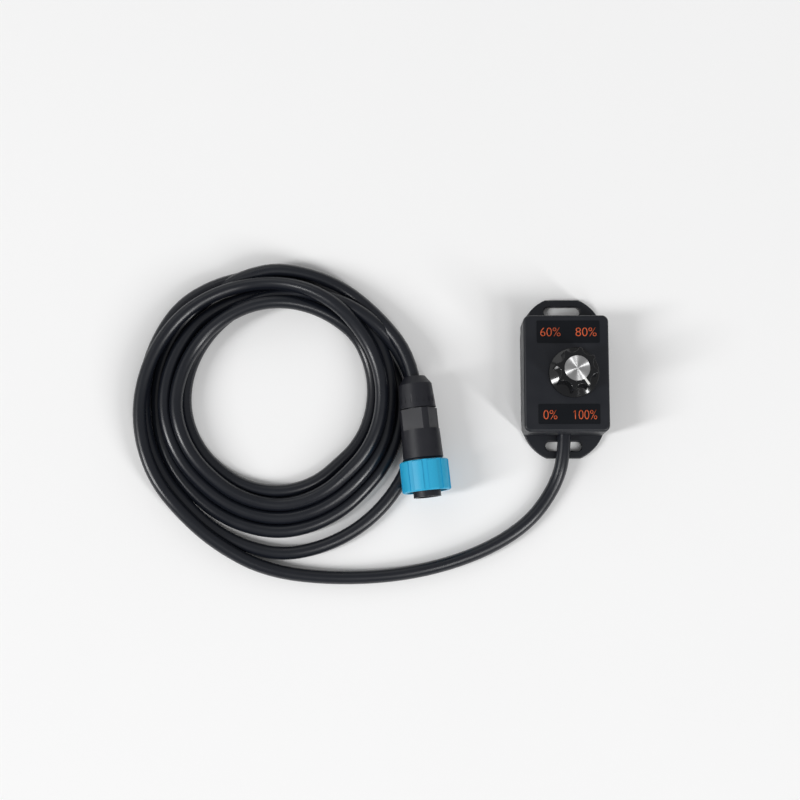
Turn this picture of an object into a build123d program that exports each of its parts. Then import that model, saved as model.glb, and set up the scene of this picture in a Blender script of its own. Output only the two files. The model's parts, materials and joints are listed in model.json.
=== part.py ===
from build123d import *
import math
import os

# A wall box with a rotary dimmer control, a coiled cord and a round coupling plug.
# The origin is under the middle of the box, +Y runs to the upper ear and +Z is up.
# All sizes are in millimetres and all angles in degrees.

# Case
case_width = 41.5
cover_length = 57.2
case_height = 22.0
plate_thickness = 3.0
plate_edge_radius = 0.5
cover_wall = 2.0
cover_top = 2.0
corner_radius = 3.2
inner_corner_radius = 1.2
top_edge_radius = 1.3
ear_span = 79.2
ear_end_cut = 1.75
ear_slot_length = 18.0
ear_slot_width = 4.8
ear_slot_edge = 5.9
rim_height = 2.0
rim_thickness = 1.5
rim_clearance = 0.25

# Case screws
screw_radius = 1.4
screw_head_radius = 2.7
screw_length = 11.0
screw_tip_length = 1.5
screw_clearance = 0.2
screw_drive_width = 0.8
screw_drive_length = 3.2
screw_drive_depth = 0.7
boss_radius = 3.2
boss_wall_overlap = 0.5

# Labels
label_thickness = 0.25
label_corner = 0.6
label_offset = 1.0
upper_label_size = (30.6, 11.0)
upper_label_y = 20.3
lower_label_size = (29.8, 9.8)
lower_label_y = -20.0

# Rotary control
control_x = 3.4
control_sweep = 284.0
shaft_radius = 3.0
shaft_rise = 15.0
shaft_clearance = 0.04
shaft_foot_gap = 0.1
bushing_radius = 3.45
bushing_rise = 7.0
bushing_chamfer = 0.25
bushing_hole_clearance = 0.15
flange_thickness = 2.0
flange_step_width = 0.7
flange_step_depth = 0.6
can_radius = 8.3
can_wall = 0.5
can_fit = 0.05
can_depth = 5.6
nib_count = 3
nib_width = 2.4
nib_first_angle = 30.0
nib_spread = 180.0
tab_width = 2.4
tab_thickness = 1.0
tab_height = 1.4
tab_inset = 2.2
tab_clearance = 0.15
wafer_thickness = 1.5
wafer_hole_clearance = 0.4
tongue_width = 13.0
tongue_reach = 4.4
window_clearance = 0.3
lug_count = 3
lug_pitch = 5.0
lug_width = 1.8
lug_thickness = 0.5
lug_inset = 3.0
lug_reach = 4.0
lug_eye_radius = 0.5
rotor_radius = 6.2
rotor_thickness = 2.2
rotor_gap = 0.6
rotor_lug_half_angle = 12.0
rotor_lug_reach = 1.0
stop_margin = 1.0
stop_gap = 0.3
wiper_thickness = 0.3
wiper_bore_gap = 0.3
wiper_ring_width = 1.4
wiper_arm_width = 1.6
wiper_tip_radius = 0.6
wiper_clearance = 0.05
washer_radius = 6.0
washer_thickness = 0.5
nut_across_flats = 10.0
nut_thickness = 2.0
thread_clearance = 0.05

# Knob
knob_gap = 0.6
knob_height = 16.2
knob_rest_angle = -55.0
skirt_radius = 12.2
skirt_height = 3.8
skirt_edge_height = 1.5
skirt_edge_radius = 0.6
lobe_foot_radius = 10.6
lobe_top_radius = 10.0
lobe_edge_radius = 0.3
lobe_count = 8
flute_radius = 3.9
flute_reach = 7.9
cap_radius = 6.1
cap_fit = 0.05
cap_thickness = 0.8
cap_seat_depth = 0.7
cap_bevel = 0.2
pointer_width = 1.1
pointer_depth = 0.4
pointer_end_radius = 9.6
knob_bush_radius = 4.7
knob_bush_length = 8.6
knob_bush_roof = 1.4
knob_bore_clearance = 0.03
nut_room = 0.8
set_screw_radius = 1.5
set_screw_length = 3.2
set_screw_hex_radius = 0.9
set_screw_hex_depth = 1.2
set_screw_hole_clearance = 0.15

# Cord
cord_diameter = 6.6
cord_height = 7.5
cord_hole_clearance = 0.15
cord_end_inset = 5.6
core_straight = 1.5
core_radius = 0.8
core_spread = 1.3
core_bend = 2.4
sleeve_wall = 0.5
sleeve_length = 4.6
tie_thickness = 1.1
tie_width = 3.6
tie_wall_gap = 0.3
tie_head_size = 4.6

# The lead's points from the case to the coil, chosen along the cord in the photograph
cord_floor = cord_diameter / 2
lead_points = [
    (0.0, -38.5, cord_height),
    (-5.2, -55.0, cord_floor),
    (-18.5, -72.5, cord_floor),
    (-42.0, -86.5, cord_floor),
    (-75.0, -96.2, cord_floor),
    (-112.0, -98.6, cord_floor),
    (-146.5, -94.6, 4.2),
    (-171.5, -80.9, 8.2),
    (-188.8, -64.9, 11.0),
]
# The tail's points from the coil towards the plug
tail_points = [
    (-111.6, 47.4, 8.5),
    (-90.0, 29.0, 11.5),
]
tail_bend_distance = 8.0

# Coil
coil_centre = (-140.9, -16.1)
coil_radius = 72.0
coil_hole_centre = (-140.0, -9.6)
coil_hole_radius = 43.5
coil_layers = 2
coil_crown_radius = 4.5
coil_foot_radius = 1.5
coil_pocket_gap = 0.6

# Plug, measured along its axis from the back of the gland nut
plug_rear = (-73.7, -0.9, 16.0)
plug_turn = 6.0
gland_nut_length = 15.6
gland_back_radius = 5.2
gland_dome_radius = 8.0
gland_dome_length = 3.9
gland_front_radius = 8.8
gland_roof = 2.6
gland_cone_length = 2.6
gland_rib_count = 18
gland_rib_width = 0.9
gland_rib_depth = 0.45
gland_rib_start = 3.2
gland_rib_end = 13.2
spigot_radius = 6.8
spigot_clearance = 0.15
spigot_wall = 1.6
spigot_overlap = 9.0
cord_entry_clearance = 0.25
body_gap = 0.5
flat_length = 10.2
flat_radius = 9.3
flat_distance = 7.6
flat_count = 4
flat_turn = 18.8
barrel_length = 14.2
barrel_rear_radius = 9.4
barrel_front_radius = 9.8
barrel_edge = 0.5
neck_radius = 8.65
neck_length = 5.8
ring_gap = 0.8
ring_length = 15.0
ring_radius = 11.9
ring_lip_length = 2.4
ring_thread_radius = 9.9
ring_clearance = 0.08
ring_edge = 0.6
ring_flute_count = 10
ring_flute_width = 2.7
ring_flute_depth = 0.5
clip_depth = 0.5
clip_width = 0.9
clip_reach = 0.8
clip_gap = 0.15
clip_opening = 3.0
insert_radius = 6.7
insert_fit = 0.04
insert_seat_length = 11.0
insert_step = 1.0
nose_reach = 2.6
shroud_wall = 1.3
shroud_depth = 9.0
key_width = 2.4
key_depth = 0.7
pin_radius = 0.8
pin_pitch = 4.4
pin_recess = 2.0
pin_tail = 4.0
seal_thickness = 1.4
seal_clearance = 0.05
bush_length = 8.6
bush_fit = 0.05
plug_cord_depth = 12.0

# Levels and places worked out from the sizes above
cover_height = case_height - plate_thickness
mount_face = case_height - cover_top
inner_width = case_width - 2 * cover_wall
inner_length = cover_length - 2 * cover_wall
ear_slot_spacing = ear_span - 2 * ear_slot_edge
screw_x = inner_width / 2 - boss_radius + boss_wall_overlap
screw_y = inner_length / 2 - boss_radius + boss_wall_overlap
screw_head_height = screw_head_radius - screw_radius
cord_radius = cord_diameter / 2
cover_front = -cover_length / 2
cord_end_y = cover_front + cover_wall + cord_end_inset
wafer_top = mount_face - flange_thickness
wafer_bottom = wafer_top - wafer_thickness
can_bottom = wafer_bottom - can_depth
can_inner_radius = can_radius - can_wall
control_seat_radius = can_inner_radius - can_fit
tongue_end = -can_radius - tongue_reach
lug_level = wafer_bottom - lug_thickness
rotor_top = wafer_bottom - rotor_gap
rotor_bottom = rotor_top - rotor_thickness
shaft_bottom = can_bottom + can_wall + shaft_foot_gap
shaft_top = mount_face + shaft_rise
stop_half_angle = (360 - control_sweep) / 2 - rotor_lug_half_angle - stop_margin
rotor_lug_angle = knob_rest_angle + 180
stop_angle = rotor_lug_angle - (360 - control_sweep) / 2
nut_bottom = case_height + washer_thickness
nut_top = nut_bottom + nut_thickness
nut_corner_radius = nut_across_flats / math.sqrt(3)
knob_base = case_height + knob_gap
cap_seat = knob_height - cap_seat_depth
bush_top = cap_seat - knob_bush_roof
bush_bottom = bush_top - knob_bush_length
flute_angle = 180 / lobe_count
plug_heading = math.radians(plug_turn)
plug_direction = Vector(math.sin(plug_heading), -math.cos(plug_heading), 0)
spigot_start = gland_nut_length + body_gap - spigot_overlap
spigot_bore_radius = spigot_radius - spigot_wall
body_start = gland_nut_length + body_gap
flat_end = body_start + flat_length
barrel_end = flat_end + barrel_length
neck_end = barrel_end + neck_length
ring_start = barrel_end + ring_gap
ring_end = ring_start + ring_length
nose_end = ring_end + nose_reach
insert_start = neck_end - insert_seat_length
clip_start = ring_start + ring_lip_length + clip_gap
clip_inner_radius = neck_radius - clip_depth
pin_start = insert_start - pin_tail
pin_end = nose_end - pin_recess

# Planes and axes that several pieces share
control_plane = Plane((control_x, 0, 0))
pointer_heading = math.radians(knob_rest_angle)
knob_plane = Plane(
    (control_x, 0, knob_base),
    x_dir=(math.cos(pointer_heading), math.sin(pointer_heading), 0),
    z_dir=(0, 0, 1),
)
knob_section = Plane(knob_plane.origin, x_dir=knob_plane.x_dir, z_dir=-knob_plane.y_dir)
knob_axis = Axis(knob_plane.origin, knob_plane.z_dir)
plug_plane = Plane(plug_rear, x_dir=(0, 0, 1), z_dir=plug_direction)
plug_section = Plane(plug_rear, x_dir=plug_plane.x_dir, z_dir=-plug_plane.y_dir)
plug_axis = Axis(plug_rear, plug_direction)

finished = []


def keep(name, builder):
    """Label a finished piece and add it to the list to write out."""
    builder.part.label = name
    finished.append(builder.part)


def outline(*points):
    """Fill the closed outline through these points in the open sketch."""
    with BuildLine() as border:
        Polyline(*points, close=True)
    make_face(border.edges())


def sector(inner, outer, middle, half_angle):
    """Fill a piece of a ring about the open sketch's own centre."""
    with BuildLine() as border:
        near = CenterArc((0, 0), inner, middle - half_angle, 2 * half_angle)
        far = CenterArc((0, 0), outer, middle - half_angle, 2 * half_angle)
        Line(near @ 0, far @ 0)
        Line(near @ 1, far @ 1)
    make_face(border.edges())


def screw_places():
    """Places for the four case screws, over the corners of the case."""
    return GridLocations(2 * screw_x, 2 * screw_y, 2, 2)


def bend_radii(points):
    """The largest bend at each corner of a cord's route that leaves its runs some straight length."""
    corners = [Vector(*point) for point in points]
    radii = []
    for before, corner, after in zip(corners, corners[1:], corners[2:]):
        shorter_run = min((corner - before).length, (after - corner).length)
        half_turn = math.radians((corner - before).get_angle(after - corner) / 2)
        radii.append(0.45 * shorter_run / math.tan(half_turn))
    return radii


def report_tube(name, tube, line, radius):
    """Print a tube's length, and its volume beside its section times its length."""
    expected = math.pi * radius**2 * line.length
    print(f"{name}: length {line.length:.1f}, volume {tube.volume:.0f}, section times length {expected:.0f}")


# The base plate, with its two slotted ears and the rim that locates the cover
with BuildPart() as base_plate:
    with BuildSketch():
        SlotOverall(ear_span + 2 * ear_end_cut, case_width, rotation=90)
        Rectangle(2 * case_width, ear_span, mode=Mode.INTERSECT)
        with GridLocations(0, ear_slot_spacing, 1, 2):
            SlotOverall(ear_slot_length, ear_slot_width, mode=Mode.SUBTRACT)
    extrude(amount=plate_thickness)
    fillet(base_plate.faces().sort_by(Axis.Z)[-1].edges(), plate_edge_radius)
    with BuildSketch(Plane.XY.offset(plate_thickness)):
        Rectangle(inner_width - 2 * rim_clearance, inner_length - 2 * rim_clearance)
        Rectangle(
            inner_width - 2 * (rim_clearance + rim_thickness),
            inner_length - 2 * (rim_clearance + rim_thickness),
            mode=Mode.SUBTRACT,
        )
        with screw_places():
            Rectangle(2 * (boss_radius + rim_clearance), 2 * (boss_radius + rim_clearance), mode=Mode.SUBTRACT)
        with Locations((0, -inner_length / 2)):
            Rectangle(cord_diameter + 2 * rim_thickness, 4 * rim_thickness, mode=Mode.SUBTRACT)
    extrude(amount=rim_height)
    with screw_places():
        with Locations(Location((0, 0, 0), (180, 0, 0))):
            CounterSinkHole(
                screw_radius + screw_clearance, screw_head_radius + screw_clearance, counter_sink_angle=90
            )
keep("base_plate", base_plate)

# The cover, a deep box open below, with a boss for each screw
with BuildPart() as cover:
    with BuildSketch(Plane.XY.offset(plate_thickness)):
        RectangleRounded(case_width, cover_length, corner_radius)
    extrude(amount=cover_height)
    fillet(cover.faces().sort_by(Axis.Z)[-1].edges(), top_edge_radius)
    with BuildSketch(Plane.XY.offset(plate_thickness)):
        RectangleRounded(inner_width, inner_length, inner_corner_radius)
    extrude(amount=cover_height - cover_top, mode=Mode.SUBTRACT)
    with BuildSketch(Plane.XY.offset(plate_thickness)):
        with screw_places():
            Circle(boss_radius)
        Rectangle(inner_width, inner_length, mode=Mode.INTERSECT)
    extrude(amount=cover_height - cover_top)
    with BuildSketch(Plane.XY.offset(plate_thickness)):
        with screw_places():
            Circle(screw_radius)
    extrude(amount=screw_length - plate_thickness + screw_tip_length, mode=Mode.SUBTRACT)
    with BuildSketch(control_plane.offset(mount_face)):
        Circle(bushing_radius + bushing_hole_clearance)
        with Locations((-control_seat_radius + tab_inset, 0)):
            Rectangle(tab_thickness + 2 * tab_clearance, tab_width + 2 * tab_clearance)
    extrude(amount=cover_top, mode=Mode.SUBTRACT)
    with BuildSketch(Plane((0, cover_front, cord_height), z_dir=(0, -1, 0))):
        Circle(cord_radius + cord_hole_clearance)
    extrude(amount=-cover_wall, mode=Mode.SUBTRACT)
keep("cover", cover)

# The case screws, countersunk from below
standing = (Align.CENTER, Align.CENTER, Align.MIN)
with BuildPart() as case_screws:
    with screw_places():
        Cone(screw_head_radius, screw_radius, screw_head_height, align=standing)
        Cylinder(screw_radius, screw_length - screw_tip_length, align=standing)
        Box(screw_drive_length, screw_drive_width, screw_drive_depth, align=standing, mode=Mode.SUBTRACT)
        Box(screw_drive_width, screw_drive_length, screw_drive_depth, align=standing, mode=Mode.SUBTRACT)
        with Locations((0, 0, screw_length - screw_tip_length)):
            Cone(screw_radius, screw_radius / 4, screw_tip_length, align=standing)
keep("case_screws", case_screws)

# The two labels on the cover
for label_name, label_size, label_y in (
    ("label_upper", upper_label_size, upper_label_y),
    ("label_lower", lower_label_size, lower_label_y),
):
    with BuildPart() as label:
        with BuildSketch(Plane((label_offset, label_y, case_height))):
            RectangleRounded(*label_size, label_corner)
        extrude(amount=label_thickness)
    keep(label_name, label)

# The control's flange and threaded bushing, with the tab that stops it turning
with BuildPart() as control_bushing:
    with BuildSketch(control_plane.offset(wafer_top)):
        Circle(control_seat_radius)
    extrude(amount=flange_thickness - flange_step_depth)
    with BuildSketch(control_plane.offset(mount_face - flange_step_depth)):
        Circle(control_seat_radius - flange_step_width)
    extrude(amount=flange_step_depth)
    with BuildSketch(control_plane.offset(mount_face)):
        Circle(bushing_radius)
    extrude(amount=bushing_rise)
    chamfer(control_bushing.faces().sort_by(Axis.Z)[-1].edges(), bushing_chamfer)
    with BuildSketch(control_plane.offset(mount_face)):
        with Locations((-control_seat_radius + tab_inset, 0)):
            Rectangle(tab_thickness, tab_width)
    extrude(amount=tab_height)
    with BuildSketch(control_plane.offset(wafer_top)):
        Circle(shaft_radius + shaft_clearance)
    extrude(amount=flange_thickness + bushing_rise, mode=Mode.SUBTRACT)
keep("control_bushing", control_bushing)

# The wafer that carries the resistive track, with a tongue for the lugs
with BuildPart() as control_wafer:
    with BuildSketch(control_plane.offset(wafer_bottom)):
        Circle(control_seat_radius)
        with Locations((0, tongue_end / 2)):
            Rectangle(tongue_width, -tongue_end)
        Circle(shaft_radius + wafer_hole_clearance, mode=Mode.SUBTRACT)
    extrude(amount=wafer_thickness)
keep("control_wafer", control_wafer)

# The lugs, flat strips riveted under the tongue
with BuildPart() as control_lugs:
    with BuildSketch(control_plane.offset(lug_level)):
        with Locations((0, tongue_end + (lug_inset - lug_reach) / 2)):
            with GridLocations(lug_pitch, 0, lug_count, 1):
                Rectangle(lug_width, lug_inset + lug_reach)
        with Locations((0, tongue_end - lug_reach + lug_width / 2)):
            with GridLocations(lug_pitch, 0, lug_count, 1):
                Circle(lug_eye_radius, mode=Mode.SUBTRACT)
    extrude(amount=lug_thickness)
keep("control_lugs", control_lugs)

# The steel can round the control, open for the tongue, with its stop and the nibs over the flange
with BuildPart() as control_can:
    with BuildSketch(control_plane.offset(can_bottom)):
        Circle(can_radius)
    extrude(amount=mount_face - can_fit - can_bottom)
    with BuildSketch(control_plane.offset(can_bottom + can_wall)):
        Circle(can_inner_radius)
    extrude(amount=mount_face - can_bottom, mode=Mode.SUBTRACT)
    with BuildSketch(control_plane.offset(lug_level - window_clearance)):
        with Locations((0, -can_radius)):
            Rectangle(tongue_width + 2 * window_clearance, 2 * can_radius)
    extrude(amount=mount_face - lug_level, mode=Mode.SUBTRACT)
    with BuildSketch(control_plane.offset(mount_face - flange_step_depth + can_fit)):
        with PolarLocations(can_inner_radius, nib_count, nib_first_angle, nib_spread):
            Rectangle(2 * flange_step_width, nib_width)
        Circle(can_radius - can_wall / 2, mode=Mode.INTERSECT)
        Circle(control_seat_radius - flange_step_width + can_fit, mode=Mode.SUBTRACT)
    extrude(amount=flange_step_depth - 2 * can_fit)
    with BuildSketch(control_plane.offset(rotor_bottom)):
        sector(rotor_radius + stop_gap, can_radius - can_wall / 2, stop_angle, stop_half_angle)
    extrude(amount=rotor_thickness)
keep("control_can", control_can)

# The shaft that the knob turns
with BuildPart() as control_shaft:
    with BuildSketch(control_plane.offset(shaft_bottom)):
        Circle(shaft_radius)
    extrude(amount=shaft_top - shaft_bottom)
    chamfer(control_shaft.faces().sort_by(Axis.Z)[-1].edges(), bushing_chamfer)
keep("control_shaft", control_shaft)

# The rotor on the shaft, with the lug that meets the stop
with BuildPart() as control_rotor:
    with BuildSketch(control_plane.offset(rotor_bottom)):
        Circle(rotor_radius)
        sector(shaft_radius, rotor_radius + rotor_lug_reach, rotor_lug_angle, rotor_lug_half_angle)
        Circle(shaft_radius, mode=Mode.SUBTRACT)
    extrude(amount=rotor_thickness)
keep("control_rotor", control_rotor)

# The wiper spring on the rotor, whose tip runs on the track
wiper_ring_radius = shaft_radius + wiper_bore_gap + wiper_ring_width
with BuildPart() as control_wiper:
    with BuildSketch(control_plane.offset(rotor_top)):
        with Locations((rotor_radius / 2, 0)):
            SlotOverall(rotor_radius, wiper_arm_width)
        Circle(wiper_ring_radius)
        Circle(shaft_radius + wiper_bore_gap, mode=Mode.SUBTRACT)
    extrude(amount=wiper_thickness)
    with BuildSketch(control_plane.offset(rotor_top)):
        with Locations((rotor_radius - wiper_arm_width / 2, 0)):
            Circle(wiper_tip_radius)
    extrude(amount=rotor_gap - wiper_clearance)
keep("control_wiper", control_wiper)

# The washer and nut that hold the control to the cover
with BuildPart() as control_washer:
    with BuildSketch(control_plane.offset(case_height)):
        Circle(washer_radius)
        Circle(bushing_radius + bushing_hole_clearance, mode=Mode.SUBTRACT)
    extrude(amount=washer_thickness)
keep("control_washer", control_washer)

with BuildPart() as control_nut:
    with BuildSketch(control_plane.offset(nut_bottom)):
        RegularPolygon(nut_corner_radius, 6)
        Circle(bushing_radius + thread_clearance, mode=Mode.SUBTRACT)
    extrude(amount=nut_thickness)
keep("control_nut", control_nut)

# The knob, a tapered body with deep flutes between its lobes, on a sloping skirt with room for the nut
with BuildPart() as knob_body:
    with BuildSketch(knob_section):
        outline(
            (0, skirt_edge_height),
            (lobe_foot_radius, skirt_edge_height),
            (lobe_top_radius, knob_height),
            (0, knob_height),
        )
    revolve(axis=knob_axis)
    with BuildSketch(knob_plane.offset(skirt_edge_height)):
        with PolarLocations(flute_reach + flute_radius, lobe_count, flute_angle):
            Circle(flute_radius)
    extrude(amount=knob_height, mode=Mode.SUBTRACT)
    fillet(knob_body.edges() - knob_body.faces().sort_by(Axis.Z)[0].edges(), lobe_edge_radius)
    with BuildSketch(knob_section) as skirt_profile:
        outline(
            (0, 0),
            (skirt_radius, 0),
            (skirt_radius, skirt_edge_height),
            (flute_reach, skirt_height),
            (0, skirt_height),
        )
        fillet(skirt_profile.vertices().sort_by(Axis.X)[-2:].sort_by(Axis.Y)[-1], skirt_edge_radius)
    revolve(axis=knob_axis)
    with BuildSketch(knob_plane.offset(cap_seat)):
        Circle(cap_radius + cap_fit)
    extrude(amount=cap_seat_depth, mode=Mode.SUBTRACT)
    with BuildSketch(knob_plane):
        Circle(nut_corner_radius + nut_room)
    extrude(amount=nut_top - knob_base + nut_room, mode=Mode.SUBTRACT)
    with BuildSketch(knob_plane):
        Circle(knob_bush_radius)
    extrude(amount=bush_top, mode=Mode.SUBTRACT)
    set_screw_level = (bush_top + bush_bottom) / 2
    set_screw_plane = Plane(
        knob_plane.from_local_coords((0, 0, set_screw_level)),
        z_dir=knob_plane.x_dir.rotate(Axis.Z, 180 + flute_angle),
    )
    with BuildSketch(set_screw_plane):
        Circle(set_screw_radius + set_screw_hole_clearance)
    extrude(amount=skirt_radius, mode=Mode.SUBTRACT)
    with BuildSketch(knob_plane.offset(knob_height)):
        with Locations(((cap_radius + pointer_end_radius) / 2, 0)):
            Rectangle(pointer_end_radius - cap_radius, pointer_width)
    extrude(amount=-pointer_depth, mode=Mode.SUBTRACT)
keep("knob_body", knob_body)

# The turned metal cap on the knob
with BuildPart() as knob_cap:
    with BuildSketch(knob_plane.offset(cap_seat)):
        Circle(cap_radius)
    extrude(amount=cap_thickness)
    chamfer(knob_cap.faces().sort_by(Axis.Z)[-1].edges(), cap_bevel)
keep("knob_cap", knob_cap)

# The brass bush moulded into the knob, and the screw that grips the shaft
with BuildPart() as knob_bush:
    with BuildSketch(knob_plane.offset(bush_bottom)):
        Circle(knob_bush_radius)
        Circle(shaft_radius + knob_bore_clearance, mode=Mode.SUBTRACT)
    extrude(amount=knob_bush_length)
    with BuildSketch(set_screw_plane):
        Circle(set_screw_radius + thread_clearance)
    extrude(amount=skirt_radius, mode=Mode.SUBTRACT)
keep("knob_bush", knob_bush)

with BuildPart() as knob_set_screw:
    with BuildSketch(set_screw_plane.offset(shaft_radius + knob_bore_clearance)):
        Circle(set_screw_radius)
    extrude(amount=set_screw_length)
    with BuildSketch(set_screw_plane.offset(shaft_radius + knob_bore_clearance + set_screw_length)):
        RegularPolygon(set_screw_hex_radius, 6)
    extrude(amount=-set_screw_hex_depth, mode=Mode.SUBTRACT)
keep("knob_set_screw", knob_set_screw)

# The lead, from inside the case over the lower ear and along the floor to the coil
lead_route = [(0, cord_end_y, cord_height)] + lead_points
lead_radii = bend_radii(lead_route)
print("lead bends:", [round(radius, 1) for radius in lead_radii])
with BuildPart() as cord_lead:
    with BuildLine():
        lead_line = FilletPolyline(*lead_route, radius=lead_radii)
    with BuildSketch(Plane(lead_line @ 0, z_dir=lead_line % 0)):
        Circle(cord_radius)
    sweep(path=lead_line)
report_tube("lead", cord_lead.part, lead_line, cord_radius)
keep("cord_lead", cord_lead)

# The tail, from the coil up into the back of the plug
tail_bend = Vector(*plug_rear) - plug_direction * tail_bend_distance
tail_end = Vector(*plug_rear) + plug_direction * plug_cord_depth
tail_route = tail_points + [tuple(tail_bend), tuple(tail_end)]
tail_radii = bend_radii(tail_route)
print("tail bends:", [round(radius, 1) for radius in tail_radii])
with BuildPart() as cord_tail:
    with BuildLine():
        tail_line = FilletPolyline(*tail_route, radius=tail_radii)
    with BuildSketch(Plane(tail_line @ 0, z_dir=tail_line % 0)):
        Circle(cord_radius)
    sweep(path=tail_line)
report_tube("tail", cord_tail.part, tail_line, cord_radius)
keep("cord_tail", cord_tail)

# The tie round the cord inside the case, which takes the pull against the wall
tie_plane = Plane((0, cover_front + cover_wall + tie_wall_gap, cord_height), z_dir=(0, 1, 0))
with BuildPart() as cord_tie:
    with BuildSketch(tie_plane):
        Circle(cord_radius + tie_thickness)
        with Locations((cord_radius + tie_head_size / 2, 0)):
            Rectangle(tie_head_size, tie_head_size)
        Circle(cord_radius, mode=Mode.SUBTRACT)
    extrude(amount=tie_width)
keep("cord_tie", cord_tie)

# The two cores from the cord's end up to the middle and outer lugs
core_y = tongue_end - lug_reach + lug_width / 2
core_ends = ((-core_spread, control_x - lug_pitch), (core_spread, control_x))
with BuildPart() as case_cores:
    for start_x, lug_x in core_ends:
        with BuildLine():
            core_line = FilletPolyline(
                (start_x, cord_end_y, cord_height),
                (start_x, cord_end_y + core_straight, cord_height),
                (lug_x, core_y, cord_height),
                (lug_x, core_y, lug_level),
                radius=core_bend,
            )
        with BuildSketch(Plane(core_line @ 0, z_dir=core_line % 0)):
            Circle(core_radius)
        sweep(path=core_line)
keep("case_cores", case_cores)

# The sleeves shrunk over the soldered ends
with BuildPart() as core_sleeves:
    with BuildSketch(Plane.XY.offset(lug_level - sleeve_length)):
        for start_x, lug_x in core_ends:
            with Locations((lug_x, core_y)):
                Circle(core_radius + sleeve_wall)
                Circle(core_radius, mode=Mode.SUBTRACT)
    extrude(amount=sleeve_length)
keep("core_sleeves", core_sleeves)

# The coil's outer shape, with a pocket where the plug lies on it
with BuildPart() as cord_coil:
    with BuildSketch():
        with Locations(coil_centre):
            Circle(coil_radius)
        with Locations(coil_hole_centre):
            Circle(coil_hole_radius, mode=Mode.SUBTRACT)
    extrude(amount=coil_layers * cord_diameter)
    fillet(cord_coil.faces().sort_by(Axis.Z)[-1].edges(), coil_crown_radius)
    fillet(cord_coil.faces().sort_by(Axis.Z)[0].edges(), coil_foot_radius)
    for start, end, radius in (
        (-coil_pocket_gap, ring_start, barrel_front_radius),
        (barrel_end, nose_end + coil_pocket_gap, ring_radius),
    ):
        with BuildSketch(plug_plane.offset(start)):
            Circle(radius + coil_pocket_gap)
            with Locations((coil_radius / 2, 0)):
                Rectangle(coil_radius, 2 * (radius + coil_pocket_gap))
        extrude(amount=end - start, mode=Mode.SUBTRACT)
keep("cord_coil", cord_coil)

# The gland nut, domed at the back, with grip grooves
with BuildPart() as gland_nut:
    with BuildSketch(plug_section):
        outline(
            (cord_radius + cord_entry_clearance, 0),
            (gland_back_radius, 0),
            (gland_dome_radius, gland_dome_length),
            (gland_front_radius, gland_nut_length),
            (spigot_radius + spigot_clearance, gland_nut_length),
            (spigot_radius + spigot_clearance, gland_roof + gland_cone_length),
            (cord_radius + cord_entry_clearance, gland_roof),
        )
    revolve(axis=plug_axis)
    with BuildSketch(plug_plane.offset(gland_rib_start)):
        with PolarLocations(gland_front_radius, gland_rib_count):
            Rectangle(2 * gland_rib_depth, gland_rib_width)
    extrude(amount=gland_rib_end - gland_rib_start, mode=Mode.SUBTRACT)
keep("gland_nut", gland_nut)

# The rubber bush that the gland nut squeezes round the cord
bush_start = spigot_start + spigot_overlap - bush_length
with BuildPart() as gland_bush:
    with BuildSketch(plug_plane.offset(bush_start)):
        Circle(spigot_bore_radius - bush_fit)
        Circle(cord_radius, mode=Mode.SUBTRACT)
    extrude(amount=bush_length)
keep("gland_bush", gland_bush)

# The plug's body, with flats for a spanner and a neck for the coupling ring
with BuildPart() as plug_body:
    with BuildSketch(plug_section):
        outline(
            (0, spigot_start),
            (spigot_radius, spigot_start),
            (spigot_radius, body_start),
            (flat_radius, body_start),
            (flat_radius, flat_end),
            (barrel_rear_radius, flat_end),
            (barrel_front_radius, barrel_end - barrel_edge),
            (barrel_front_radius - barrel_edge, barrel_end),
            (neck_radius, barrel_end),
            (neck_radius, clip_start),
            (clip_inner_radius, clip_start),
            (clip_inner_radius, clip_start + clip_width + clip_gap),
            (neck_radius, clip_start + clip_width + clip_gap),
            (neck_radius, neck_end),
            (0, neck_end),
        )
    revolve(axis=plug_axis)
    with BuildSketch(plug_plane.offset(body_start)):
        Circle(2 * flat_radius)
        RegularPolygon(flat_distance, flat_count, major_radius=False, rotation=-flat_turn, mode=Mode.SUBTRACT)
    extrude(amount=flat_length, mode=Mode.SUBTRACT)
    with BuildSketch(plug_plane.offset(spigot_start)):
        Circle(spigot_bore_radius)
    extrude(amount=insert_start + insert_step - spigot_start, mode=Mode.SUBTRACT)
    with BuildSketch(plug_plane.offset(insert_start)):
        Circle(insert_radius + insert_fit)
    extrude(amount=insert_seat_length, mode=Mode.SUBTRACT)
keep("plug_body", plug_body)

# The coupling ring, broad fluted flats outside and the thread's bore inside
with BuildPart() as coupling_ring:
    with BuildSketch(plug_section):
        outline(
            (neck_radius + ring_clearance, ring_start),
            (ring_radius - ring_edge, ring_start),
            (ring_radius, ring_start + ring_edge),
            (ring_radius, ring_end - ring_edge),
            (ring_radius - ring_edge, ring_end),
            (ring_thread_radius, ring_end),
            (ring_thread_radius, ring_start + ring_lip_length),
            (neck_radius + ring_clearance, ring_start + ring_lip_length),
        )
    revolve(axis=plug_axis)
    with BuildSketch(plug_plane.offset(ring_start)):
        with PolarLocations(ring_radius, ring_flute_count):
            Rectangle(2 * ring_flute_depth, ring_flute_width)
    extrude(amount=ring_length, mode=Mode.SUBTRACT)
keep("coupling_ring", coupling_ring)

# The spring clip in the neck's groove that keeps the coupling ring on
with BuildPart() as coupling_clip:
    with BuildSketch(plug_plane.offset(clip_start)):
        Circle(neck_radius + clip_reach)
        Circle(clip_inner_radius, mode=Mode.SUBTRACT)
        with Locations((neck_radius, 0)):
            Rectangle(2 * clip_opening, clip_opening, mode=Mode.SUBTRACT)
    extrude(amount=clip_width)
keep("coupling_clip", coupling_clip)

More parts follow.
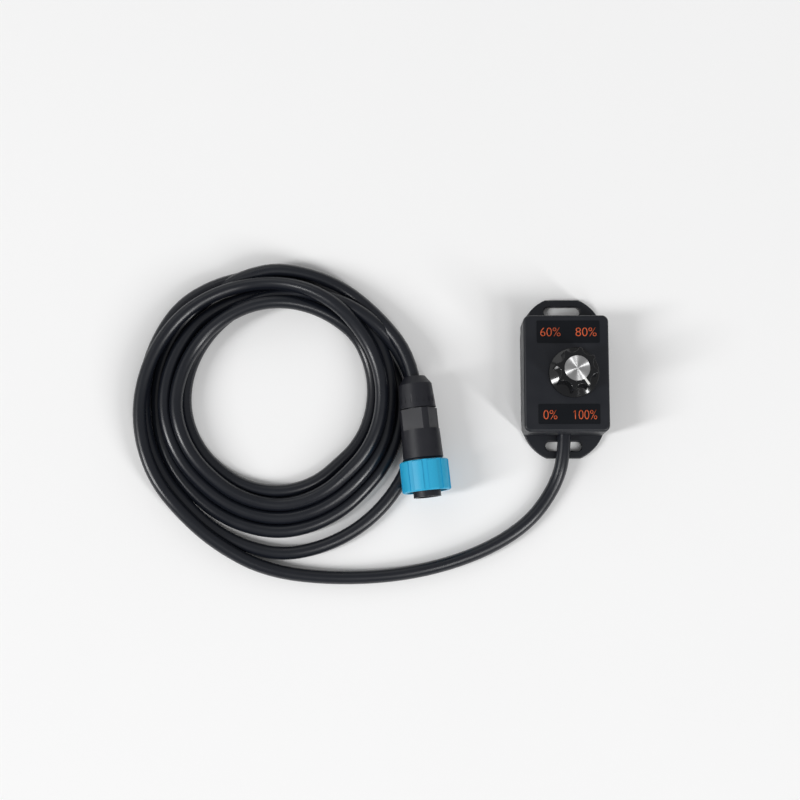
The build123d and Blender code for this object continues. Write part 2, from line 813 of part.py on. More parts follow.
# The insert that holds the contacts, with a keyed shroud at the nose
with BuildPart() as plug_insert:
    with BuildSketch(plug_plane.offset(insert_start)):
        Circle(insert_radius)
    extrude(amount=nose_end - insert_start)
    with BuildSketch(plug_plane.offset(nose_end - shroud_depth)):
        Circle(insert_radius - shroud_wall)
        with Locations((-(insert_radius - shroud_wall), 0)):
            Rectangle(2 * key_depth, key_width)
    extrude(amount=shroud_depth, mode=Mode.SUBTRACT)
    with BuildSketch(plug_plane.offset(insert_start)):
        with GridLocations(0, pin_pitch, 1, 2):
            Circle(pin_radius)
    extrude(amount=nose_end - insert_start, mode=Mode.SUBTRACT)
keep("plug_insert", plug_insert)

# The two contact pins
with BuildPart() as plug_pins:
    with BuildSketch(plug_plane.offset(pin_start)):
        with GridLocations(0, pin_pitch, 1, 2):
            Circle(pin_radius)
    extrude(amount=pin_end - pin_start)
keep("plug_pins", plug_pins)

# The face seal round the insert, against the end of the neck
with BuildPart() as plug_seal:
    with BuildSketch(plug_plane.offset(neck_end)):
        Circle(neck_radius)
        Circle(insert_radius + seal_clearance, mode=Mode.SUBTRACT)
    extrude(amount=seal_thickness)
keep("plug_seal", plug_seal)

# The two cores from the cord's end to the pins
with BuildPart() as plug_cores:
    for side in (-1, 1):
        with BuildSketch(plug_plane.offset(plug_cord_depth)):
            with Locations((0, side * core_spread)):
                Circle(core_radius)
        with BuildSketch(plug_plane.offset(pin_start)):
            with Locations((0, side * pin_pitch / 2)):
                Circle(core_radius)
        loft()
keep("plug_cores", plug_cores)

os.makedirs("parts", exist_ok=True)
for piece in finished:
    export_step(piece, f"parts/{piece.label}.step")
print(len(finished), "pieces written")
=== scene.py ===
# %% [markdown]
# A lamp dimmer in Blender: a small black box with a rotary knob, a coil of round cord and a plug.
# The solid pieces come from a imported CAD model, the frame, and stay exactly where it puts them.
# This lesson adds what CAD leaves out: the real cord turn by turn, the printed figures and every finish.

# %% The frame
import bmesh
import bpy
import json
import math
from mathutils import Euler, Matrix, Vector


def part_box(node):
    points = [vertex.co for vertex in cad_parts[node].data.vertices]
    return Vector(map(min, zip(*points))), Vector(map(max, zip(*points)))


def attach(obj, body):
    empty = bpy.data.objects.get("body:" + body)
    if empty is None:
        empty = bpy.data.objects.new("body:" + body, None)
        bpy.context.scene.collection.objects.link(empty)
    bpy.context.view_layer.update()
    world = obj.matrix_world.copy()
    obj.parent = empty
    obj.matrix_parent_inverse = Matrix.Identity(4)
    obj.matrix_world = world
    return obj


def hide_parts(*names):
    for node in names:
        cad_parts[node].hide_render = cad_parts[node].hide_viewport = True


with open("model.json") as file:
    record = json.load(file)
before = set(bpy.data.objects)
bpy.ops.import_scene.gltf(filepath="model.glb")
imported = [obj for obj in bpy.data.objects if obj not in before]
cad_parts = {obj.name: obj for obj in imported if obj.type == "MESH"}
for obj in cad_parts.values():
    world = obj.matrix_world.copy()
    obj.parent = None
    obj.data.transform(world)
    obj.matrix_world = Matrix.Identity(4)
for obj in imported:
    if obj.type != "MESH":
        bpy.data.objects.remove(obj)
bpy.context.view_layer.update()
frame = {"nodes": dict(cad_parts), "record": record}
nodes = frame["nodes"]
MM = 0.001
print("nodes in the frame:", len(nodes))

# %% [markdown]
# The photograph was taken from almost straight above. Its camera was found from the box: the corners of
# the cover and of the base plate lie at two known heights, so one place and one tilt fit them all.
# The lens is long, so the knob hardly leans. The place is in metres and the tilt in degrees.

# %% The camera
camera_place = (-0.08132, -0.11382, 0.79098)
camera_tilt = (7.472, -0.022, -0.141)
camera_lens = 72.2
camera_sensor = 36.0


def add_to_scene(name, data):
    """Make an object that shows some data, and put it in the scene."""
    thing = bpy.data.objects.new(name, data)
    bpy.context.scene.collection.objects.link(thing)
    return thing


camera_data = bpy.data.cameras.new("camera")
camera_data.lens = camera_lens
camera_data.sensor_width = camera_sensor
camera = add_to_scene("camera", camera_data)
camera.location = camera_place
camera.rotation_euler = [math.radians(angle) for angle in camera_tilt]
bpy.context.scene.camera = camera
print("camera height:", camera_place[2])

# %% [markdown]
# The cord is one length of round black cable. It leaves the front wall of the box, drops to the table,
# sweeps left and winds five and a half loose turns before it rises into the back of the plug.
# A curve with a round bevel is the natural tool: one NURBS spline carries the whole length.
# The first list is the lead and the last one is the tail, both repeated from the CAD route in millimetres.

# %% The lead and the tail
cord_diameter = 6.6 * MM
cord_radius = cord_diameter / 2
lead_points = [
    (0.0, -21.0, 7.5),
    (0.0, -38.5, 7.5),
    (-5.2, -55.0, 3.3),
    (-18.5, -72.5, 3.3),
    (-42.0, -86.5, 3.3),
    (-75.0, -96.2, 3.3),
    (-112.0, -98.6, 3.3),
    (-146.5, -94.6, 4.2),
    (-171.5, -80.9, 8.2),
    (-188.8, -64.9, 11.0),
]
tail_points = [
    (-111.6, 47.4, 8.5),
    (-90.0, 29.0, 11.5),
    (-74.5, 7.06, 16.0),
    (-72.45, -12.83, 16.0),
]
print("points by hand:", len(lead_points) + len(tail_points))

# %% [markdown]
# Loose turns differ in size, so no helix fits them. Each turn is read from the photograph as eight
# distances from the middle of the coil, one for each compass point, beginning at the bottom and going
# round by the left. A loop joins them with stations every 15 degrees. Straight steps between the compass
# points are enough, because the spline rounds them off. On a ring of points, an order 3 spline passes a
# little inside: at each point it takes three quarters of that point and an eighth of each neighbour.

# %% The turns of the coil
coil_middle = Vector((-138.6, -14.6, 0)) * MM
pixel = 0.497 * MM
turn_distances = (
    (165, 143, 140.4, 134.5, 122.5, 107, 98, 91),
    (96, 97, 105, 105.5, 104, 102.5, 88.4, 77.8),
    (82.4, 87.2, 97.4, 105, 113, 122, 134.5, 138.8),
    (144, 134, 138, 144, 133, 118, 106, 103),
    (109, 109, 117, 121, 117, 115, 117, 114),
    (122.4, 121.5, 125, 133, 138.5),
)
compass_count = 8
steps_between = 3
per_turn = compass_count * steps_between
distances = [distance for turn in turn_distances for distance in turn]
first_station = steps_between + 1
last_station = (len(distances) - 1) * steps_between
spline_cut = 0.75 + 0.25 * math.cos(2 * math.pi / per_turn)


def station_radius(station):
    """Distance from the coil's middle, between the two compass points on either side."""
    whole, part = divmod(station, steps_between)
    near = distances[whole]
    far = distances[min(whole + 1, len(distances) - 1)]
    return (near + (far - near) * part / steps_between) * pixel


print("stations:", last_station - first_station + 1)

# %% [markdown]
# The height of each station follows from how the coil was laid. The turns nearest the plug went down
# first and the ones nearest the box lie on top, but the tail itself was laid last, with the plug.
# At each station a strand rests on the table or in the hollow over the strands already there: two round
# strands that touch have their middles one diameter apart, which gives the height by Pythagoras.

# %% The heights of the turns
tail_stations = 2
tail_laid_from = last_station - tail_stations
plug_end_first = range(tail_laid_from, first_station - 1, -1)
tail_last = range(tail_laid_from + 1, last_station + 1)
heights = {}
for station in (*plug_end_first, *tail_last):
    height = cord_radius
    for other in range(station % per_turn, last_station + 1, per_turn):
        gap = abs(station_radius(station) - station_radius(other))
        if other in heights and gap < cord_diameter:
            height = max(height, heights[other] + math.sqrt(cord_diameter**2 - gap**2))
    heights[station] = height
print("highest strand as laid:", round(max(heights.values()) / MM, 1), "mm")

# %% [markdown]
# A cord is too stiff to climb in one step, so each height is eased halfway to the mean of its two
# neighbours. Each station then becomes a point of the spline, set out far enough that the spline itself,
# which passes inside its points, runs at the distance that was read.

# %% The points of the coil
bottom_angle = 270
coil_points = []
for station in range(first_station, last_station + 1):
    angle = math.radians(bottom_angle - 360 * station / per_turn)
    reach = station_radius(station) / spline_cut
    place = coil_middle + Vector((math.cos(angle), math.sin(angle), 0)) * reach
    before = heights[max(station - 1, first_station)]
    after = heights[min(station + 1, last_station)]
    eased = (heights[station] + (before + after) / 2) / 2
    coil_points.append((place.x, place.y, eased))
print("highest strand once eased:", round(max(point[2] for point in coil_points) / MM, 1), "mm")

# %% [markdown]
# All the points go into one open spline. The order is set after the points are there, because a spline
# with too few points falls back to straight runs. Order 3 keeps the curve close to its points and
# leaves no corner. The line is turned into a mesh once while it has no bevel, and that mesh is removed
# again.
# Blender counts each point's radius in a curve's box, so the radius carries the thickness and the bevel
# depth stays at 1.

# %% The cord's curve
def in_metres(points):
    """Points given in millimetres, in the metres that Blender works with."""
    return [tuple(value * MM for value in point) for point in points]


def as_mesh(maker):
    """The mesh that a curve or a text makes, as the scene shows it."""
    bpy.context.view_layer.update()
    shown = maker.evaluated_get(bpy.context.evaluated_depsgraph_get())
    return bpy.data.meshes.new_from_object(shown)


route = in_metres(lead_points) + coil_points + in_metres(tail_points)
cord_curve = bpy.data.curves.new("cord", "CURVE")
cord_curve.dimensions = "3D"
cord_spline = cord_curve.splines.new("NURBS")
cord_spline.points.add(len(route) - 1)
for point, place in zip(cord_spline.points, route):
    point.co = (*place, 1)
    point.radius = cord_radius
cord_spline.order_u = 3
cord_spline.use_endpoint_u = True
cord_spline.resolution_u = 6
cord = add_to_scene("cord", cord_curve)

line = as_mesh(cord)
bpy.data.meshes.remove(line)
cord_curve.bevel_depth = 1.0
cord_curve.bevel_resolution = 6
cord_curve.use_fill_caps = True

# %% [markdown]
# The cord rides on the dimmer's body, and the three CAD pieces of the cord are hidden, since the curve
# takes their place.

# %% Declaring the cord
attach(cord, "dimmer")
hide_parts("cord_lead", "cord_coil", "cord_tail")

# %% [markdown]
# The floor is a plain pale sheet that takes the soft shadow. An even white world fills in where the lamps
# don't reach, at a low strength, so that the shadow stays.

# %% The floor and the world
floor_size = 24.0
world_colour = (1, 1, 1, 1)
world_strength = 0.3

bpy.context.scene.view_settings.view_transform = "Standard"
world = bpy.data.worlds.new("studio")
bpy.context.scene.world = world
world.use_nodes = True
world_light = world.node_tree.nodes["Background"]
world_light.inputs["Color"].default_value = world_colour
world_light.inputs["Strength"].default_value = world_strength

half = floor_size / 2
floor_corners = [(-half, -half, 0), (half, -half, 0), (half, half, 0), (-half, half, 0)]
floor_mesh = bpy.data.meshes.new("floor")
floor_mesh.from_pydata(floor_corners, [], [(0, 1, 2, 3)])
floor = add_to_scene("floor", floor_mesh)
print("floor:", floor_size, "m across")

# %% [markdown]
# A product photograph of black plastic is made by what the plastic reflects. The turned cap on the knob
# tells where the lamps stood: light from the side draws a bright fan across the rings, along the line to
# the lamp. Three fans give three compass headings. Nothing hangs overhead, because a lamp there would be
# mirrored in every flat top and the black would turn grey. Large lamps far away give the same shine as
# small ones close by, and light the floor more evenly, so the floor round the part doesn't burn out.

# %% The lamps
lamp_distance = 4.8
lamp_aim = Vector((-0.1, -0.02, 0))
lamp_tall = 2.4


def soft_lamp(name, heading, lift, width, power):
    """Hang a tall soft lamp on a compass heading, lifted by an angle, and aim it at the part."""
    data = bpy.data.lights.new(name, "AREA")
    data.shape = "RECTANGLE"
    data.size = width
    data.size_y = lamp_tall
    data.energy = power
    lamp = add_to_scene(name, data)
    lamp.location = Vector((lamp_distance, 0, 0))
    lamp.location.rotate(Euler((0, -math.radians(lift), math.radians(heading))))
    lamp.rotation_euler = (lamp_aim - lamp.location).to_track_quat("-Z", "Y").to_euler()


soft_lamp("key_lamp", heading=196, lift=39, width=0.64, power=104.0)
soft_lamp("right_lamp", heading=-44, lift=37, width=0.48, power=86.0)
soft_lamp("front_lamp", heading=-68, lift=56, width=0.48, power=34.0)
soft_lamp("left_lamp", heading=172, lift=35, width=3.60, power=9.0)
soft_lamp("back_lamp", heading=116, lift=35, width=3.60, power=17.0)
print("lamps hung:", len(bpy.data.lights))

# %% [markdown]
# Finishes come next. Each one is a small graph of nodes, and a few steps come back in all of them: adding
# a node, adding a noise, and starting a node group with its named sockets. Short functions do these.

# %% Tools for nodes
VALUE = "NodeSocketFloat"
COLOUR = "NodeSocketColor"


def add_node(tree, kind, **settings):
    """Add one node to a tree, and set the options that are named."""
    node = tree.nodes.new(kind)
    for option, value in settings.items():
        setattr(node, option, value)
    return node


def add_noise(tree, scale, detail=3.0):
    """Add a noise texture in metres, at a plain scale or at one taken from another socket."""
    place = add_node(tree, "ShaderNodeTexCoord")
    noise = add_node(tree, "ShaderNodeTexNoise")
    noise.inputs["Detail"].default_value = detail
    tree.links.new(place.outputs["Object"], noise.inputs["Vector"])
    if isinstance(scale, (int, float)):
        noise.inputs["Scale"].default_value = scale
    else:
        tree.links.new(scale, noise.inputs["Scale"])
    return noise.outputs["Fac"]


def new_group(name, sockets_in, sockets_out):
    """Start a node group with its named sockets, and return it with its two ends."""
    group = bpy.data.node_groups.new(name, "ShaderNodeTree")
    for label, kind in sockets_in.items():
        group.interface.new_socket(label, in_out="INPUT", socket_type=kind)
    for label, kind in sockets_out.items():
        group.interface.new_socket(label, in_out="OUTPUT", socket_type=kind)
    return group, add_node(group, "NodeGroupInput"), add_node(group, "NodeGroupOutput")


print("kinds of socket:", VALUE, COLOUR)

# %% [markdown]
# Moulded plastic is never quite smooth: the mould leaves a fine grain, and the gloss drifts slowly over
# the surface. Several materials need that grain, so it is a node group with its own sockets. Its
# coordinates are in metres, so a scale of 3000 gives grains of a third of a millimetre.

# %% The moulded grain group
drift_scale = 90.0
drift_low = 0.3
drift_high = 0.7

grain, grain_in, grain_out = new_group(
    "Moulded grain",
    {"Grain scale": VALUE, "Gloss low": VALUE, "Gloss high": VALUE, "Dark": COLOUR, "Light": COLOUR},
    {"Colour": COLOUR, "Roughness": VALUE, "Height": VALUE},
)
fine = add_noise(grain, grain_in.outputs["Grain scale"])
slow = add_noise(grain, drift_scale)
gloss_drift = add_node(grain, "ShaderNodeMapRange")
gloss_drift.inputs["From Min"].default_value = drift_low
gloss_drift.inputs["From Max"].default_value = drift_high
grain_tint = add_node(grain, "ShaderNodeMix", data_type="RGBA")
grain.links.new(slow, gloss_drift.inputs["Value"])
grain.links.new(grain_in.outputs["Gloss low"], gloss_drift.inputs["To Min"])
grain.links.new(grain_in.outputs["Gloss high"], gloss_drift.inputs["To Max"])
grain.links.new(fine, grain_tint.inputs["Factor"])
grain.links.new(grain_in.outputs["Dark"], grain_tint.inputs["A"])
grain.links.new(grain_in.outputs["Light"], grain_tint.inputs["B"])
grain.links.new(grain_tint.outputs["Result"], grain_out.inputs["Colour"])
grain.links.new(gloss_drift.outputs["Result"], grain_out.inputs["Roughness"])
grain.links.new(fine, grain_out.inputs["Height"])
print("group:", grain.name)

# %% [markdown]
# With the group in place, a plastic is a few choices: two close colours, a range of gloss, the size of
# the grain and how deep the mould's texture is. The bump node turns the group's height into light and
# shade without changing the mesh. Colours are written as they look on a screen.

# %% How a plastic is made
screen_white = 255
screen_gamma = 2.2
mould_depth = 0.05 * MM


def linear(screen_colour):
    """A colour as seen on screen, from 0 to 255, in the light values that Blender works with."""
    return (*((value / screen_white) ** screen_gamma for value in screen_colour), 1)


def new_material(name):
    """Start a material and return it with its tree and its shader."""
    material = bpy.data.materials.new(name)
    material.use_nodes = True
    tree = material.node_tree
    return material, tree, tree.nodes["Principled BSDF"]


def use_bump(tree, shader, height, strength, depth):
    """Let a height texture tilt the shader's normals."""
    bump = add_node(tree, "ShaderNodeBump")
    bump.inputs["Strength"].default_value = strength
    bump.inputs["Distance"].default_value = depth
    tree.links.new(height, bump.inputs["Height"])
    tree.links.new(bump.outputs["Normal"], shader.inputs["Normal"])


def moulded(name, dark, light, gloss, grains, bump, shine=0.5):
    """A moulded plastic or rubber, with so many grains to the metre."""
    material, tree, shader = new_material(name)
    group = add_node(tree, "ShaderNodeGroup", node_tree=grain)
    group.inputs["Grain scale"].default_value = grains
    group.inputs["Gloss low"].default_value = gloss[0]
    group.inputs["Gloss high"].default_value = gloss[1]
    group.inputs["Dark"].default_value = linear(dark)
    group.inputs["Light"].default_value = linear(light)
    tree.links.new(group.outputs["Colour"], shader.inputs["Base Color"])
    tree.links.new(group.outputs["Roughness"], shader.inputs["Roughness"])
    shader.inputs["Specular IOR Level"].default_value = shine
    use_bump(tree, shader, group.outputs["Height"], bump, mould_depth)
    return material


print("mould texture:", mould_depth / MM, "mm deep")

# %% [markdown]
# Ten plastics and rubbers dress most of the part. The case is a dull black, the knob a polished one, and
# the cord's jacket lies between the two. The ring on the plug is the only bright colour outside. The last
# four are for the small pieces inside the case and the plug.

# %% Plastics and rubbers
finishes = {}
finishes["case_plastic"] = moulded(
    "case plastic", (17, 20, 27), (25, 28, 36), gloss=(0.38, 0.48), grains=3200, bump=0.30
)
finishes["label_film"] = moulded(
    "label film", (14, 17, 22), (20, 23, 28), gloss=(0.34, 0.42), grains=5200, bump=0.08, shine=0.25
)
finishes["knob_plastic"] = moulded(
    "knob plastic", (13, 14, 17), (18, 19, 22), gloss=(0.08, 0.12), grains=4200, bump=0.01, shine=0.65
)
finishes["cord_jacket"] = moulded(
    "cord jacket", (23, 25, 31), (31, 34, 41), gloss=(0.26, 0.33), grains=2400, bump=0.06
)
finishes["plug_plastic"] = moulded(
    "plug nylon", (24, 25, 31), (32, 33, 40), gloss=(0.42, 0.52), grains=2600, bump=0.35
)
finishes["ring_plastic"] = moulded(
    "ring nylon", (38, 160, 203), (48, 174, 217), gloss=(0.36, 0.48), grains=2200, bump=0.25
)
finishes["nylon"] = moulded(
    "natural nylon", (214, 210, 198), (226, 223, 212), gloss=(0.40, 0.50), grains=2600, bump=0.20
)
finishes["sleeve_rubber"] = moulded(
    "soft rubber", (20, 20, 20), (30, 30, 30), gloss=(0.60, 0.72), grains=1800, bump=0.35, shine=0.3
)
finishes["core_insulation"] = moulded(
    "core insulation", (176, 32, 28), (192, 42, 36), gloss=(0.28, 0.36), grains=2400, bump=0.10
)
finishes["wafer_board"] = moulded(
    "wafer laminate", (120, 74, 40), (144, 92, 52), gloss=(0.55, 0.68), grains=1500, bump=0.30
)
print("plastics:", len(finishes))

# %% [markdown]
# The metals inside are zinc plated steel, die cast alloy and brass. Rolled and drawn metal carries fine
# lines, so a second group stretches a noise along one direction and gives both gloss and height from it.

# %% The drawn metal group
line_stretch = (1.0, 1.0, 0.08)

drawn, drawn_in, drawn_out = new_group(
    "Drawn metal",
    {"Line scale": VALUE, "Gloss low": VALUE, "Gloss high": VALUE},
    {"Roughness": VALUE, "Height": VALUE},
)
drawn_place = add_node(drawn, "ShaderNodeTexCoord")
drawn_stretch = add_node(drawn, "ShaderNodeMapping")
drawn_stretch.inputs["Scale"].default_value = line_stretch
drawn_noise = add_node(drawn, "ShaderNodeTexNoise")
drawn_gloss = add_node(drawn, "ShaderNodeMapRange")
drawn.links.new(drawn_place.outputs["Object"], drawn_stretch.inputs["Vector"])
drawn.links.new(drawn_stretch.outputs["Vector"], drawn_noise.inputs["Vector"])
drawn.links.new(drawn_in.outputs["Line scale"], drawn_noise.inputs["Scale"])
drawn.links.new(drawn_noise.outputs["Fac"], drawn_gloss.inputs["Value"])
drawn.links.new(drawn_in.outputs["Gloss low"], drawn_gloss.inputs["To Min"])
drawn.links.new(drawn_in.outputs["Gloss high"], drawn_gloss.inputs["To Max"])
drawn.links.new(drawn_gloss.outputs["Result"], drawn_out.inputs["Roughness"])
drawn.links.new(drawn_noise.outputs["Fac"], drawn_out.inputs["Height"])
print("group:", drawn.name)

# %% [markdown]
# A metal takes its gloss and its height from that group. A broader noise moves its colour a little
# between two close tones, as plating and casting do.

# %% The metals
tarnish_scale = 400.0
line_bump = 0.15
line_depth = 0.02 * MM


def drawn_metal(name, dark, light, gloss, lines):
    """A bare metal with so many fine lines to the metre."""
    material, tree, shader = new_material(name)
    group = add_node(tree, "ShaderNodeGroup", node_tree=drawn)
    group.inputs["Line scale"].default_value = lines
    group.inputs["Gloss low"].default_value = gloss[0]
    group.inputs["Gloss high"].default_value = gloss[1]
    shade = add_node(tree, "ShaderNodeMix", data_type="RGBA")
    shade.inputs["A"].default_value = linear(dark)
    shade.inputs["B"].default_value = linear(light)
    tree.links.new(add_noise(tree, tarnish_scale), shade.inputs["Factor"])
    tree.links.new(shade.outputs["Result"], shader.inputs["Base Color"])
    tree.links.new(group.outputs["Roughness"], shader.inputs["Roughness"])
    shader.inputs["Metallic"].default_value = 1.0
    use_bump(tree, shader, group.outputs["Height"], line_bump, line_depth)
    return material


finishes["steel"] = drawn_metal(
    "zinc plated steel", (176, 178, 182), (202, 204, 208), gloss=(0.22, 0.42), lines=3500
)
finishes["cast_metal"] = drawn_metal(
    "die cast alloy", (170, 170, 172), (192, 192, 194), gloss=(0.35, 0.55), lines=1500
)
finishes["brass"] = drawn_metal(
    "brass", (188, 152, 84), (210, 176, 104), gloss=(0.18, 0.34), lines=3500
)
print("finishes with the metals:", len(finishes))

# %% [markdown]
# The cap on the knob is a turned disc. The tool leaves rings, and light falling on rings spreads into
# bright fans that meet in the middle. An anisotropic shader blurs its reflection along the tangent, and
# across the rings means outwards from the knob's axis, so a tangent that points outwards makes those fans
# by itself, for any light. The direction is worked out from the place on the disc.

# %% The spun cap
cap_low, cap_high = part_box("knob_cap")
cap_middle = (cap_low + cap_high) / 2
ring_scale = 9000.0
ring_gloss = (0.36, 0.46)
ring_dark = (210, 210, 211)
ring_light = (240, 240, 240)
keep_flat = (1, 1, 0)


def spun_metal():
    """Turned aluminium, with rings round the knob's axis."""
    material, tree, shader = new_material("spun aluminium")
    place = add_node(tree, "ShaderNodeTexCoord")
    offset = add_node(tree, "ShaderNodeVectorMath", operation="SUBTRACT")
    offset.inputs[1].default_value = cap_middle
    outward = add_node(tree, "ShaderNodeVectorMath", operation="MULTIPLY")
    outward.inputs[1].default_value = keep_flat
    distance = add_node(tree, "ShaderNodeVectorMath", operation="LENGTH")
    rings = add_node(tree, "ShaderNodeTexNoise", noise_dimensions="1D")
    rings.inputs["Scale"].default_value = ring_scale
    gloss = add_node(tree, "ShaderNodeMapRange")
    gloss.inputs["To Min"].default_value = ring_gloss[0]
    gloss.inputs["To Max"].default_value = ring_gloss[1]
    shade = add_node(tree, "ShaderNodeMix", data_type="RGBA")
    shade.inputs["A"].default_value = linear(ring_dark)
    shade.inputs["B"].default_value = linear(ring_light)
    tree.links.new(place.outputs["Object"], offset.inputs[0])
    tree.links.new(offset.outputs["Vector"], outward.inputs[0])
    tree.links.new(outward.outputs["Vector"], distance.inputs[0])
    tree.links.new(distance.outputs["Value"], rings.inputs["W"])
    tree.links.new(rings.outputs["Fac"], gloss.inputs["Value"])
    tree.links.new(rings.outputs["Fac"], shade.inputs["Factor"])
    tree.links.new(gloss.outputs["Result"], shader.inputs["Roughness"])
    tree.links.new(shade.outputs["Result"], shader.inputs["Base Color"])
    tree.links.new(outward.outputs["Vector"], shader.inputs["Tangent"])
    shader.inputs["Metallic"].default_value = 1.0
    shader.inputs["Anisotropic"].default_value = 1.0
    return material


finishes["spun_metal"] = spun_metal()
print("cap middle:", [round(value / MM, 2) for value in cap_middle])

# %% [markdown]
# Each CAD solid names its finish in the record, so dressing them is one short loop.

# %% Dressing the solids
for entry in frame["record"]["subparts"]:
    mesh = nodes[entry["node"]].data
    mesh.materials.clear()
    mesh.materials.append(finishes[entry["material_slot"]])
cord_curve.materials.append(finishes["cord_jacket"])

# %% [markdown]
# The figures on the two labels are screen printed in orange. They are set as text in Blender's own
# plain font, turned into a mesh and squeezed to the width and height measured in the photograph, since
# the print is narrower than the font. A hair of thickness lifts the ink off the film.

# %% How a figure is printed
ink_thickness = 0.04 * MM
ink_thinning = -0.012
ink = moulded("orange ink", (200, 80, 38), (216, 96, 50), gloss=(0.42, 0.52), grains=4000, bump=0.10)
label_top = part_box("label_upper")[1].z


def raise_ink(mesh):
    """Give flat figures the thickness of the ink."""
    ink_mesh = bmesh.new()
    ink_mesh.from_mesh(mesh)
    raised = bmesh.ops.extrude_face_region(ink_mesh, geom=ink_mesh.faces[:])
    tops = [item for item in raised["geom"] if isinstance(item, bmesh.types.BMVert)]
    bmesh.ops.translate(ink_mesh, vec=(0, 0, ink_thickness), verts=tops)
    bmesh.ops.recalc_face_normals(ink_mesh, faces=ink_mesh.faces[:])
    ink_mesh.to_mesh(mesh)
    ink_mesh.free()


def print_figure(name, words, middle, width, height):
    """Print some figures on a label, centred on a spot and as large as asked, in millimetres."""
    text = bpy.data.curves.new(name, "FONT")
    text.body = words
    text.offset = ink_thinning
    maker = add_to_scene(name, text)
    mesh = as_mesh(maker)
    bpy.data.objects.remove(maker)
    low = [min(vertex.co[axis] for vertex in mesh.vertices) for axis in (0, 1)]
    high = [max(vertex.co[axis] for vertex in mesh.vertices) for axis in (0, 1)]
    stretch = Matrix.Diagonal((width * MM / (high[0] - low[0]), height * MM / (high[1] - low[1]), 1, 1))
    centre = Matrix.Translation((-(low[0] + high[0]) / 2, -(low[1] + high[1]) / 2, 0))
    spot = Matrix.Translation((middle[0] * MM, middle[1] * MM, label_top))
    mesh.transform(spot @ stretch @ centre)
    raise_ink(mesh)
    mesh.materials.clear()
    mesh.materials.append(ink)
    figure = add_to_scene(name, mesh)
    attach(figure, "dimmer")
    print(name, "printed,", len(mesh.polygons), "faces")


print("label top:", round(label_top / MM, 2), "mm")

# %% [markdown]
# Four figures mark the turn of the knob, from nothing at the lower left round to full power at the lower
# right. The font's 1 is a plain bar, so a small slash gives it the flag that the print has.

# %% The printed figures
upper_row = 20.2
lower_row = -20.3
upper_height = 4.3
lower_height = 4.5
print_figure("figure_60", "60%", middle=(-7.6, upper_row), width=9.75, height=upper_height)
print_figure("figure_80", "80%", middle=(9.7, upper_row), width=10.1, height=upper_height)
print_figure("figure_0", "0%", middle=(-8.2, lower_row), width=6.65, height=lower_height)
print_figure("figure_100", "100%", middle=(9.0, lower_row), width=10.7, height=lower_height)
print_figure("figure_100_flag", "/", middle=(3.35, -18.7), width=0.9, height=1.0)

# %% [markdown]
# The knob's pointer is a groove moulded along the top of one lobe and filled with white paint. The CAD
# knob has the groove. The fill is a plain bar, a hair smaller than the groove on every side.

# %% The pointer's paint
cap_radius = (cap_high.x - cap_low.x) / 2
knob_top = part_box("knob_body")[1].z
pointer_heading = math.radians(-55.0)
pointer_reach = 9.6 * MM
pointer_width = 1.1 * MM
pointer_depth = 0.4 * MM
fill_gap = 0.03 * MM
paint = moulded("white paint", (226, 226, 222), (238, 238, 235), gloss=(0.40, 0.50), grains=3000, bump=0.15)

fill_length = pointer_reach - cap_radius - 3 * fill_gap
fill_width = pointer_width - 2 * fill_gap
fill_depth = pointer_depth - 2 * fill_gap
fill_size = Matrix.Diagonal((fill_length, fill_width, fill_depth, 1))
fill_place = Matrix.Translation(Vector(((pointer_reach + cap_radius) / 2, 0, 0)))
fill = bmesh.new()
bmesh.ops.create_cube(fill, size=1.0, matrix=fill_place @ fill_size)
fill_mesh = bpy.data.meshes.new("pointer_paint")
fill.to_mesh(fill_mesh)
fill.free()
knob_axis = Vector((cap_middle.x, cap_middle.y, knob_top - pointer_depth / 2))
fill_mesh.transform(Matrix.Translation(knob_axis) @ Matrix.Rotation(pointer_heading, 4, "Z"))
fill_mesh.materials.append(paint)
pointer = add_to_scene("pointer_paint", fill_mesh)
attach(pointer, "knob")
print("pointer painted at", round(math.degrees(pointer_heading)), "degrees")

# %% [markdown]
# The coupling ring screws onto a socket, so its bore has a thread. The CAD ring is plain inside, since a
# fine thread is heavy to model as a solid. Here a helix carries a bevel of four sides, which makes
# the ridge of a thread, and half of it stays sunk in the wall of the bore.

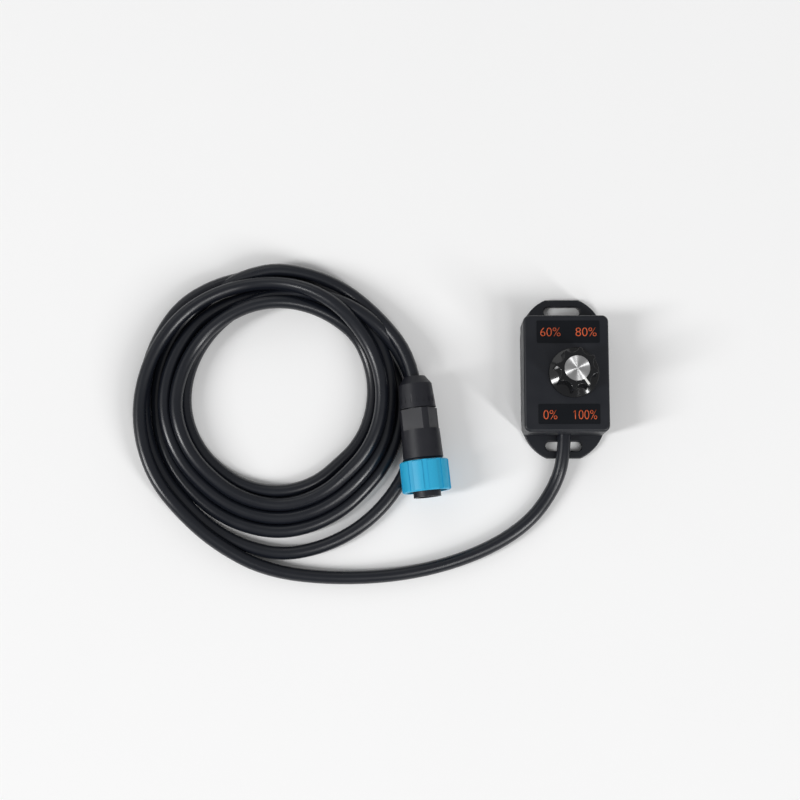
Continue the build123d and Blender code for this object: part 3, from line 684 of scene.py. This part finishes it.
# %% The thread's helix
plug_rear = Vector((-73.7, -0.9, 16.0)) * MM
plug_heading = math.radians(-84.0)
bore_radius = 9.9 * MM
thread_pitch = 1.5 * MM
thread_height = 0.45 * MM
thread_from = 49.0 * MM
thread_to = 55.6 * MM
thread_turns = (thread_to - thread_from) / thread_pitch
steps_a_turn = 48
upward = Vector((0, 0, 1))
along = Vector((math.cos(plug_heading), math.sin(plug_heading), 0))
across = Vector((-along.y, along.x, 0))
thread_points = []
for step in range(round(thread_turns * steps_a_turn) + 1):
    angle = 2 * math.pi * step / steps_a_turn
    around = across * math.cos(angle) + upward * math.sin(angle)
    advance = thread_from + thread_pitch * step / steps_a_turn
    thread_points.append(plug_rear + along * advance + around * bore_radius)
print("thread turns:", round(thread_turns, 1))

# %% [markdown]
# The helix becomes a curve of straight steps, and the curve becomes a mesh, because a thread never
# bends. It rides on the ring's body, so it turns with the ring.

# %% The thread in the coupling ring
thread_curve = bpy.data.curves.new("coupling_thread", "CURVE")
thread_curve.dimensions = "3D"
thread_spline = thread_curve.splines.new("POLY")
thread_spline.points.add(len(thread_points) - 1)
for point, place in zip(thread_spline.points, thread_points):
    point.co = (*place, 1)
thread_curve.bevel_depth = thread_height
thread_curve.bevel_resolution = 0
thread_curve.use_fill_caps = True
thread_maker = add_to_scene("coupling_thread", thread_curve)
thread_mesh = as_mesh(thread_maker)
bpy.data.objects.remove(thread_maker)
thread_mesh.materials.clear()
thread_mesh.materials.append(finishes["ring_plastic"])
thread = add_to_scene("coupling_thread", thread_mesh)
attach(thread, "coupling")
print("thread faces:", len(thread_mesh.polygons))

# %% [markdown]
# The floor's own finish comes last: a matt sheet whose tone drifts a little, so that it reads as a real
# surface and still renders close to white.

# %% The floor's finish
sheet_dark = (0.93, 0.93, 0.93, 1)
sheet_light = (0.95, 0.95, 0.95, 1)
sheet_scale = 6.0
sheet_roughness = 0.9
sheet_shine = 0.1

sheet, sheet_tree, sheet_shader = new_material("studio sheet")
sheet_tone = add_node(sheet_tree, "ShaderNodeMix", data_type="RGBA")
sheet_tone.inputs["A"].default_value = sheet_dark
sheet_tone.inputs["B"].default_value = sheet_light
sheet_tree.links.new(add_noise(sheet_tree, sheet_scale), sheet_tone.inputs["Factor"])
sheet_tree.links.new(sheet_tone.outputs["Result"], sheet_shader.inputs["Base Color"])
sheet_shader.inputs["Roughness"].default_value = sheet_roughness
sheet_shader.inputs["Specular IOR Level"].default_value = sheet_shine
floor_mesh.materials.append(sheet)
print("floor dressed:", sheet.name)

# %% [markdown]
# A finish must not change the size of a part. The scene is brought up to date once more at the end.

# %% The last update
bpy.context.view_layer.update()
